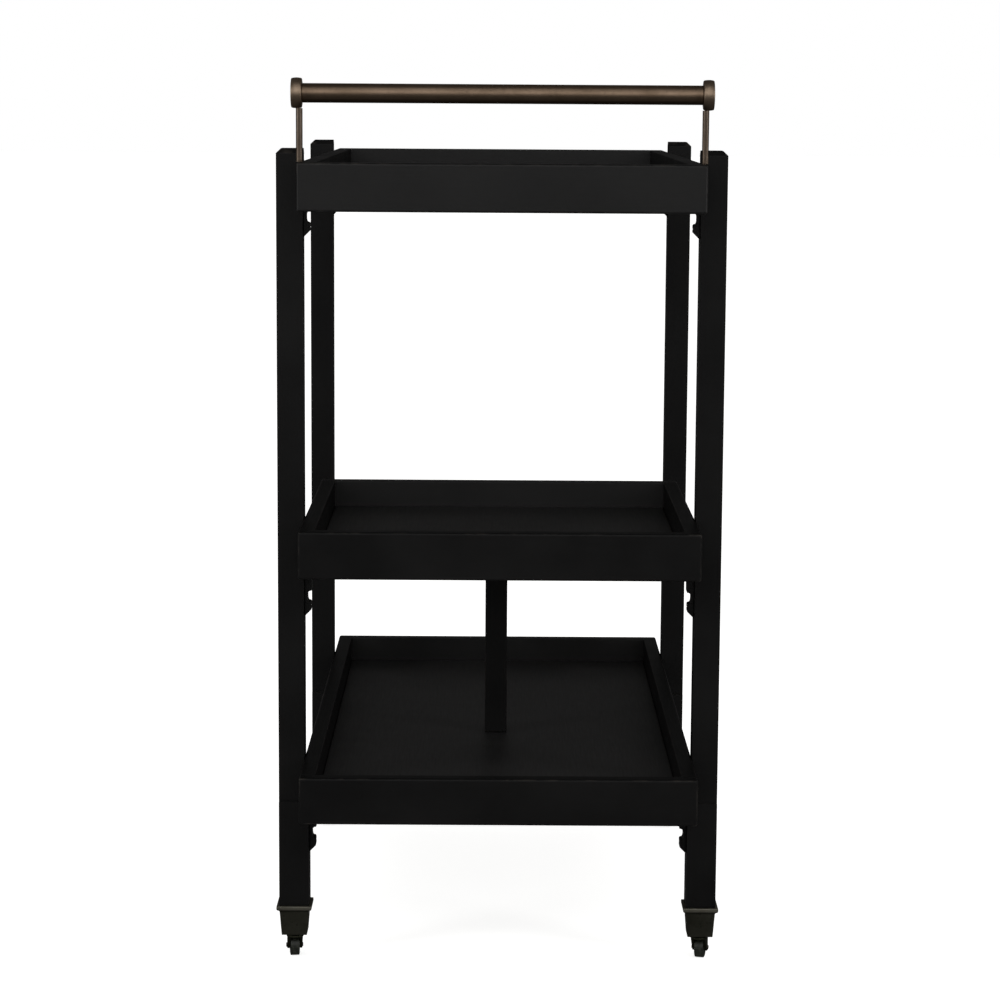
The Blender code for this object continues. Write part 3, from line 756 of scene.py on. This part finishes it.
def make_fork(corner):
    """Stem, round crown and two thick cheeks that hold the axle."""
    node = f"caster_fork_{corner}"
    stem_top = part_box(node)[1].z
    center, angle, axle = caster_frame(corner)
    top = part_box(f"caster_socket_{corner}")[0].z - GAP
    trail = (axle.xy - center.xy).length
    profile = [(0.0, stem_top), (STEM_RADIUS - STEM_EDGE, stem_top), (STEM_RADIUS, stem_top - STEM_EDGE)]
    profile += [(STEM_RADIUS, top), (CROWN_RADIUS - FORK_EDGE, top)]
    profile += arc((CROWN_RADIUS - FORK_EDGE, top - FORK_EDGE), FORK_EDGE, 80, 0, 4)
    profile += [(CROWN_RADIUS, top - CROWN_THICKNESS), (0.0, top - CROWN_THICKNESS)]
    fork = turned(f"{node}_cast_fork", profile, center, (0, 0, angle), 48)
    inner = WHEEL_HALF + WHEEL_SIDE_GAP
    for sign in (-1, 1):
        cheek = outline_object("cheek", cheek_points(top, trail, axle.z), CHEEK_THICKNESS)
        cheek.data.transform(Matrix.Rotation(math.pi / 2, 4, "Z"))
        cheek.data.transform(Matrix.Translation((sign * (inner + CHEEK_THICKNESS / 2), 0, 0)))
        cheek.location = center
        cheek.rotation_euler = (0, 0, angle)
        combine(fork, cheek, "UNION")
    hole = cylinder(AXLE_RADIUS + GAP, AXLE_HOLE_HALF, -AXLE_HOLE_HALF)
    cutter = turned("hole", hole, axle, steps=32)
    cutter.rotation_euler = (0, math.pi / 2, angle)
    combine(fork, cutter, "DIFFERENCE")
    smooth(fork, 30)
    finish_piece(fork, FORK_BRONZE, [node], f"swivel_{corner}")


def make_axle(corner):
    _, angle, axle = caster_frame(corner)
    node = f"caster_axle_{corner}"
    outer = WHEEL_HALF + WHEEL_SIDE_GAP + CHEEK_THICKNESS + GAP
    head = outer + AXLE_HEAD
    profile = [(0.0, head)] + arc((AXLE_HEAD_MIDDLE, outer), AXLE_HEAD, 80, 0, 5)
    profile += [(AXLE_RADIUS, outer), (AXLE_RADIUS, -outer)]
    profile += arc((AXLE_HEAD_MIDDLE, -outer), AXLE_HEAD, 0, -80, 5) + [(0.0, -head)]
    pin = turned(f"{node}_pin", profile, axle, steps=32)
    pin.rotation_euler = (0, math.pi / 2, angle)
    smooth(pin)
    finish_piece(pin, STEEL, [node], f"swivel_{corner}")


def make_wheel(corner):
    """A narrow wheel: rounded tread, dished sides and a hub."""
    _, angle, axle = caster_frame(corner)
    node = f"caster_wheel_{corner}"
    radius = axle.z
    half = WHEEL_HALF
    bore = AXLE_RADIUS + AXLE_CLEARANCE
    dish = half - WHEEL_DISH
    step = half - RIM_STEP
    tread = radius - WHEEL_EDGE
    profile = [(bore, half), (HUB_RADIUS, half), (HUB_BASE_RADIUS, dish), (RIM_BASE_RADIUS, dish)]
    profile += [(RIM_INNER_RADIUS, step)] + arc((tread, half - WHEEL_EDGE), WHEEL_EDGE, 90, 0, 5)
    profile += arc((tread, -half + WHEEL_EDGE), WHEEL_EDGE, 0, -90, 5)
    profile += [(RIM_INNER_RADIUS, -step), (RIM_BASE_RADIUS, -dish), (HUB_BASE_RADIUS, -dish)]
    profile += [(HUB_RADIUS, -half), (bore, -half)]
    wheel = turned(f"{node}_turned", profile, axle, steps=64)
    wheel.rotation_euler = (0, math.pi / 2, angle)
    smooth(wheel)
    finish_piece(wheel, WHEEL, [node], f"wheel_{corner}")


def finish_sockets():
    """The stem sockets keep their CAD shape and take the steel's finish."""
    for corner in CORNERS:
        socket = frame["nodes"][f"caster_socket_{corner}"]
        socket.data.materials.clear()
        socket.data.materials.append(STEEL)


# Stage


# Light: a white dome and a glowing pale floor light the paint, and the softboxes shape the gloss
DOME = 0.5
GLOSS_SURROUND = 0.055
FLOOR_HALF = 40.0
FLOOR_GLOW = 0.72
FLOOR_THICKNESS = 0.05


def make_floor():
    half = FLOOR_HALF
    floor = box_object("studio_floor", (-half, -half, -FLOOR_THICKNESS), (half, half, 0.0))
    n = Nodes("pale_floor")
    texture = n.add("ShaderNodeTexCoord")
    clouds = n.noise(texture.outputs["Object"], 1.3, 3.0)
    n.link(n.mix(clouds, (0.90, 0.90, 0.895), (0.93, 0.93, 0.925)), n.shader.inputs["Base Color"])
    n.shader.inputs["Roughness"].default_value = 0.9
    n.shader.inputs["Emission Color"].default_value = (1.0, 1.0, 0.995, 1.0)
    n.shader.inputs["Emission Strength"].default_value = FLOOR_GLOW
    floor.data.materials.append(n.material)
    floor.visible_glossy = False


def make_world():
    """White to the camera, softer as a light, and darkest in what the paint reflects."""
    world = bpy.data.worlds.new("studio")
    bpy.context.scene.world = world
    world.use_nodes = True
    tree = world.node_tree
    path = tree.nodes.new("ShaderNodeLightPath")
    shown = tree.nodes["Background"]
    shown.inputs["Color"].default_value = (1.0, 1.0, 1.0, 1.0)
    for ray, strength in (("Is Glossy Ray", GLOSS_SURROUND), ("Is Diffuse Ray", DOME)):
        light = tree.nodes.new("ShaderNodeBackground")
        light.inputs["Color"].default_value = (1.0, 0.99, 0.98, 1.0)
        light.inputs["Strength"].default_value = strength
        mix = tree.nodes.new("ShaderNodeMixShader")
        tree.links.new(path.outputs[ray], mix.inputs["Fac"])
        tree.links.new(shown.outputs[0], mix.inputs[1])
        tree.links.new(light.outputs["Background"], mix.inputs[2])
        shown = mix
    tree.links.new(shown.outputs["Shader"], tree.nodes["World Output"].inputs["Surface"])


def make_lights():
    softbox("front_softbox", (0.0, -3.8, 2.1), (0, -0.3, 0.8), (3.0, 2.2), 1.35)
    softbox("high_softbox", (0.0, -2.2, 3.2), (0, -0.2, 0.4), (1.6, 1.0), 1.0)
    softbox("left_softbox", (-2.4, -1.6, 1.3), (0, 0, 0.5), (0.8, 1.8), 4.5)
    softbox("right_softbox", (2.4, -1.6, 1.3), (0, 0, 0.5), (0.8, 1.8), 4.5)


def softbox(name, place, target, size, radiance):
    """A rectangular light that is as bright as given, whatever its size."""
    light = bpy.data.lights.new(name, "AREA")
    light.shape = "RECTANGLE"
    light.size, light.size_y = size
    light.energy = radiance * math.pi * size[0] * size[1]
    thing = bpy.data.objects.new(name, light)
    thing.location = place
    thing.rotation_euler = (Vector(target) - Vector(place)).to_track_quat("-Z", "Y").to_euler()
    bpy.context.scene.collection.objects.link(thing)


def make_camera():
    data = bpy.data.cameras.new("camera")
    data.sensor_width = 36.0
    data.lens = CAMERA_LENS
    data.clip_start = 0.05
    data.clip_end = 60.0
    camera = bpy.data.objects.new("camera", data)
    turn = Matrix.Rotation(-CAMERA_HEADING, 4, "Z")
    tilt = Matrix.Rotation(math.pi / 2 - CAMERA_PITCH, 4, "X")
    roll = Matrix.Rotation(CAMERA_ROLL, 4, "Z")
    camera.matrix_world = Matrix.Translation(CAMERA_PLACE) @ turn @ tilt @ roll
    bpy.context.scene.collection.objects.link(camera)
    bpy.context.scene.camera = camera
    bpy.context.scene.view_settings.view_transform = "Standard"


def build():
    for tier in TIERS:
        for side in ("front", "back", "left", "right"):
            make_board(tier, side)
        make_panel(tier)
    for corner, (side, end) in CORNERS.items():
        make_leg(corner, side)
        make_bracket("top", corner, side)
        make_bracket("bottom", corner, side)
        if end < 0:
            make_bracket("middle", corner, side)
        make_ferrule(corner)
        make_fork(corner)
        make_axle(corner)
        make_wheel(corner)
    make_post()
    make_tube()
    for corner, side in (("left", -1), ("right", 1)):
        make_cap(corner, side)
        make_rod(corner)
    finish_sockets()
    make_floor()
    make_world()
    make_lights()
    make_camera()


build()
